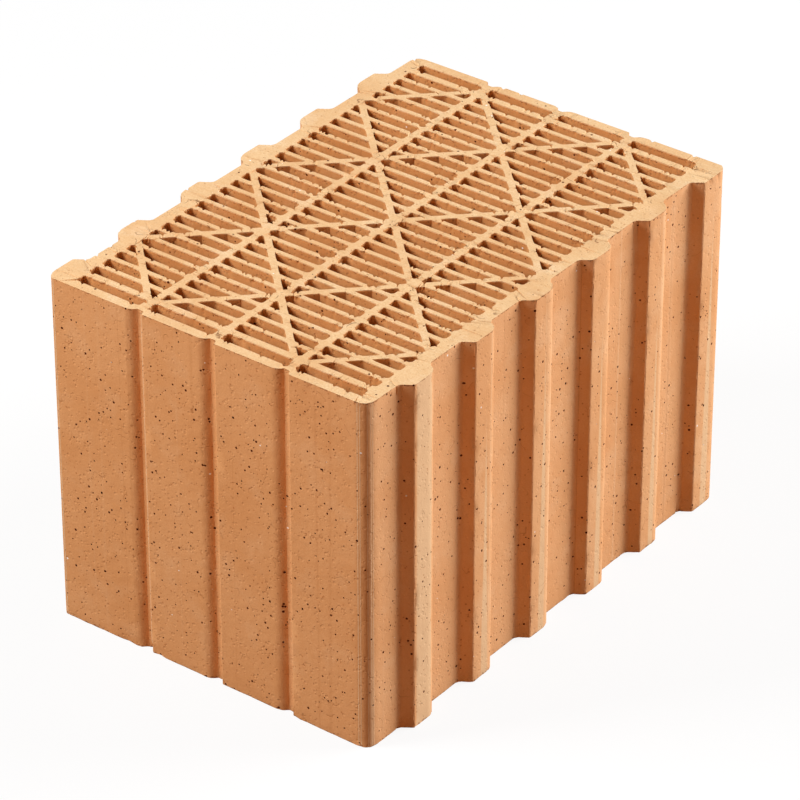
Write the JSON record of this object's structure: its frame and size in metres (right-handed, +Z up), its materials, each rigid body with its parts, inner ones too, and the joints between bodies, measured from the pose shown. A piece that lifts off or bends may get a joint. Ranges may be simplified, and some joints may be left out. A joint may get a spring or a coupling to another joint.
{
  "type": "hollow clay block",
  "caption": "Fired hollow clay building block with a lattice of narrow through slots and diagonal webs, tongue-and-groove sides and flat ground beds.",
  "frame": {"origin": "middle of the underside, where the block stands on its bed", "axes": "+X along the length from one plain end face to the other, +Y across to one toothed side, +Z up along the slots"},
  "size_m": [0.365, 0.256, 0.249],
  "materials": {
    "fired_clay": "unglazed fired porous clay, dry and matt, with ground top and underside"
  },
  "bodies": {
    "root": {"clay_block": "fired_clay"}
  },
  "joints": []
}
